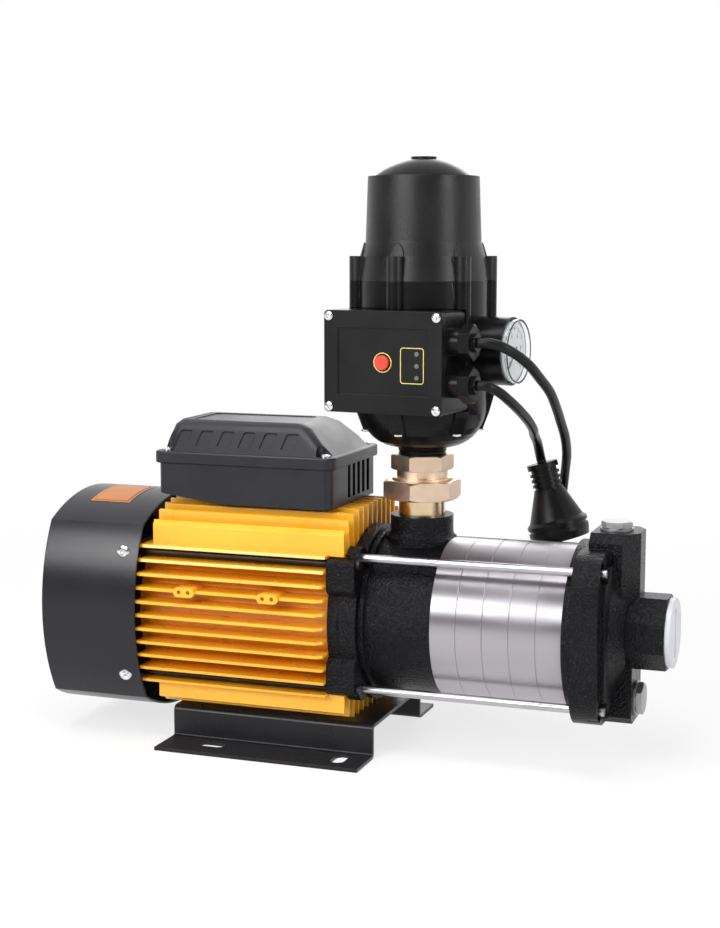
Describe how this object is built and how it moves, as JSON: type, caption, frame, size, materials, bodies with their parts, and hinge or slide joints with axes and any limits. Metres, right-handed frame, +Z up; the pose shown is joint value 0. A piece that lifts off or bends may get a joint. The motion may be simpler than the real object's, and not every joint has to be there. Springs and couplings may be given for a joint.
{
  "type": "horizontal multistage pump with pressure controller",
  "caption": "Horizontal electric multistage water pump with a finned motor on a sheet-steel foot, stainless stage shells and an automatic pressure controller on a union",
  "frame": {"origin": "on the floor under the shaft, midway between the two foot slots at the discharge end", "axes": "+X along the shaft towards the suction port, +Y away from the control panel, +Z up"},
  "size_m": [0.4476, 0.3288, 0.4193],
  "materials": {
    "frame_paint": "orange enamel on ribbed aluminium",
    "sheet_paint": "black powder coat",
    "cast_paint": "black paint on a pebbled casting",
    "black_plastic": "black moulding with a fine grain",
    "black_rubber": "matte black rubber",
    "plated_steel": "bright zinc plate",
    "stainless": "turned stainless steel",
    "core_steel": "laminated electrical steel",
    "machined_brass": "machined yellow brass",
    "winding_copper": "enamelled copper wire",
    "pump_ceramic": "ivory ceramic and moulded plastic",
    "white_plastic": "white moulding",
    "button_red": "red moulding",
    "lamp_grey": "unlit indicator",
    "lens_clear": "clear moulded lens"
  },
  "bodies": {
    "root": {"foot_bracket": "sheet_paint", "foot_bolts": "plated_steel", "fan_cover": "sheet_paint", "fan_cover_screws": "plated_steel", "motor_housing": "frame_paint", "rear_end_shield": "cast_paint", "stator_core": "core_steel", "stator_windings": "winding_copper", "motor_through_bolts": "plated_steel", "rear_bearing": "stainless", "front_bearing": "stainless", "terminal_box": "black_plastic", "terminal_box_lid": "black_plastic", "terminal_box_screws": "plated_steel", "run_capacitor": "white_plastic", "motor_bracket": "cast_paint", "discharge_casing": "cast_paint", "stage_shell_1": "stainless", "stage_shell_2": "stainless", "stage_shell_3": "stainless", "stage_shell_4": "stainless", "stage_shell_5": "stainless", "diffusers": "pump_ceramic", "front_cover": "cast_paint", "tie_rods": "plated_steel", "tie_rod_nuts": "plated_steel", "seal_seat": "pump_ceramic", "casing_o_rings": "black_rubber", "union_tail": "machined_brass", "union_nut": "machined_brass", "union_collar": "machined_brass", "controller_body": "black_plastic", "controller_bell": "black_plastic", "controller_cap": "black_plastic", "controller_screws": "plated_steel", "control_box": "black_plastic", "control_box_cover": "black_plastic", "control_box_screws": "plated_steel", "indicator_lights": "lamp_grey", "pressure_gauge": "white_plastic", "gauge_lens": "lens_clear", "cable_glands": "black_plastic", "diaphragm": "black_rubber", "output_lead": "black_rubber", "output_socket": "black_rubber", "input_lead": "black_rubber", "input_lead_coil": "black_rubber", "input_plug": "black_rubber"},
    "rotor": {"shaft": "stainless", "rotor_core": "core_steel", "cooling_fan": "black_plastic", "impellers": "stainless", "impeller_nut": "stainless", "seal_ring": "black_rubber"},
    "button": {"reset_button": "button_red"},
    "needle": {"gauge_needle": "black_plastic"},
    "cap": {"suction_cap": "white_plastic"},
    "priming": {"priming_plug": "plated_steel"},
    "drain": {"drain_plug": "plated_steel"},
    "valve": {"flow_valve": "pump_ceramic"}
  },
  "joints": [
    {"name": "rotor_spin", "type": "hinge", "parent": "root", "child": "rotor", "pos_m": [0, 0, 0.0945], "axis": [1, 0, 0], "continuous": true},
    {"name": "reset_press", "type": "slide", "parent": "root", "child": "button", "axis": [0.1219, 0.9925, 0], "range_m": [0, 0.0015], "stiffness_N_per_m": 300},
    {"name": "needle_turn", "type": "hinge", "parent": "root", "child": "needle", "pos_m": [0.10996, -0.0089, 0.2855], "axis": [-0.9925, 0.1219, 0], "range_deg": [0, 270]},
    {"name": "cap_pull", "type": "slide", "parent": "root", "child": "cap", "axis": [1, 0, 0], "range_m": [0, 0.04]},
    {"name": "priming_plug_lift", "type": "slide", "parent": "root", "child": "priming", "axis": [0, 0, 1], "range_m": [0, 0.03]},
    {"name": "drain_plug_pull", "type": "slide", "parent": "root", "child": "drain", "axis": [1, 0, 0], "range_m": [0, 0.03]},
    {"name": "valve_lift", "type": "slide", "parent": "root", "child": "valve", "axis": [0, 0, 1], "range_m": [0, 0.012]}
  ]
}
